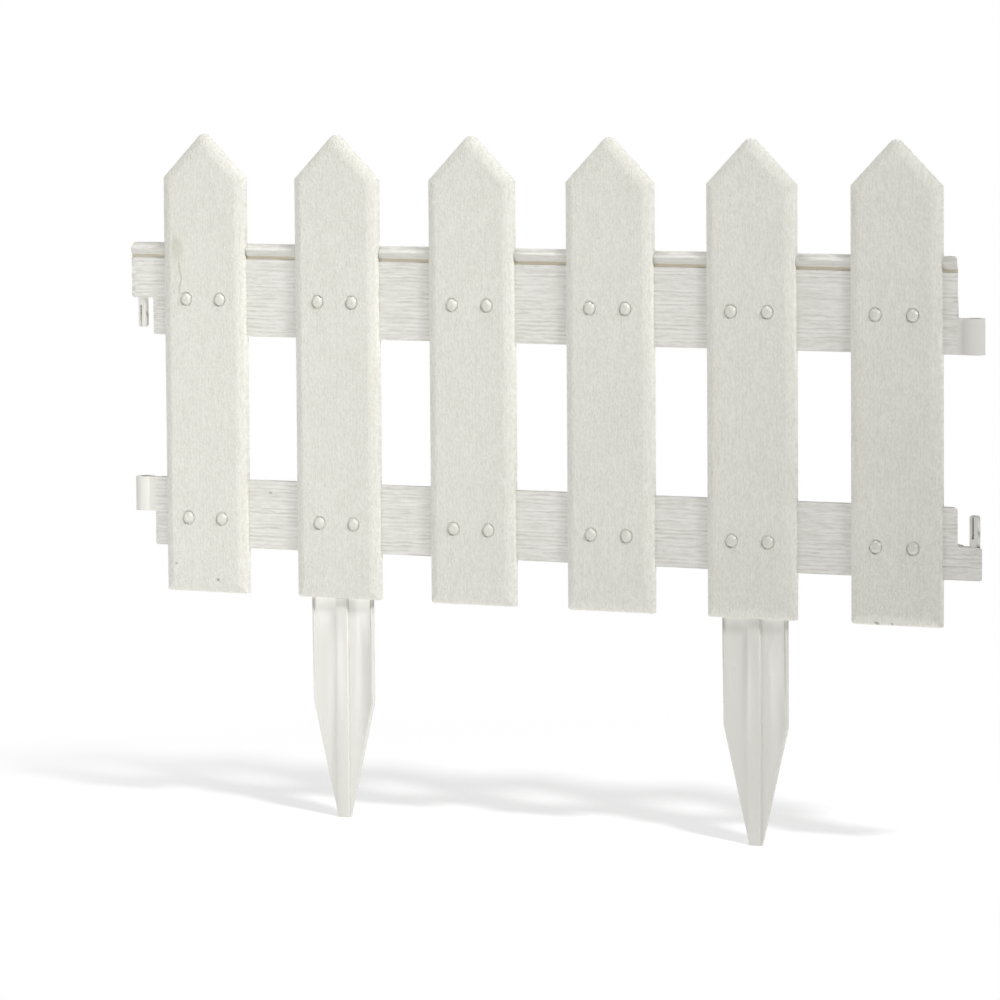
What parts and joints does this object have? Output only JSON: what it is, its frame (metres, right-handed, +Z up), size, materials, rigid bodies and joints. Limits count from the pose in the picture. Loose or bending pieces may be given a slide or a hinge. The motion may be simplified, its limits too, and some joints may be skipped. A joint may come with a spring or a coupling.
{
  "type": "plastic garden edging panel",
  "caption": "Low white plastic picket edging panel: pointed hollow pickets riveted to grained rails, stakes for soft ground and snap hinges at the rail ends.",
  "frame": {"origin": "middle of the blunt tip face of the left stake", "axes": "+Z up along the stakes and pickets, +X along the panel to the right as seen from the front, front towards -Y"},
  "size_m": [0.6026, 0.0161, 0.439],
  "materials": {
    "grained_picket": "off-white moulded polypropylene with fine upright wood grain and a pebbled satin",
    "grained_rail": "off-white moulded polypropylene with bold lengthways wood grain",
    "smooth_stake": "smooth glossy off-white moulded polypropylene",
    "smooth_rivet": "smooth glossy off-white moulded polypropylene"
  },
  "bodies": {
    "root": {"top_rail": "grained_rail", "bottom_rail": "grained_rail", "picket_1": "grained_picket", "picket_2": "grained_picket", "picket_3": "grained_picket", "picket_4": "grained_picket", "picket_5": "grained_picket", "picket_6": "grained_picket", "stake_left": "smooth_stake", "stake_right": "smooth_stake", "rivets_1_bottom": "smooth_rivet", "rivets_1_top": "smooth_rivet", "rivets_2_bottom": "smooth_rivet", "rivets_2_top": "smooth_rivet", "rivets_3_bottom": "smooth_rivet", "rivets_3_top": "smooth_rivet", "rivets_4_bottom": "smooth_rivet", "rivets_4_top": "smooth_rivet", "rivets_5_bottom": "smooth_rivet", "rivets_5_top": "smooth_rivet", "rivets_6_bottom": "smooth_rivet", "rivets_6_top": "smooth_rivet"}
  },
  "joints": []
}
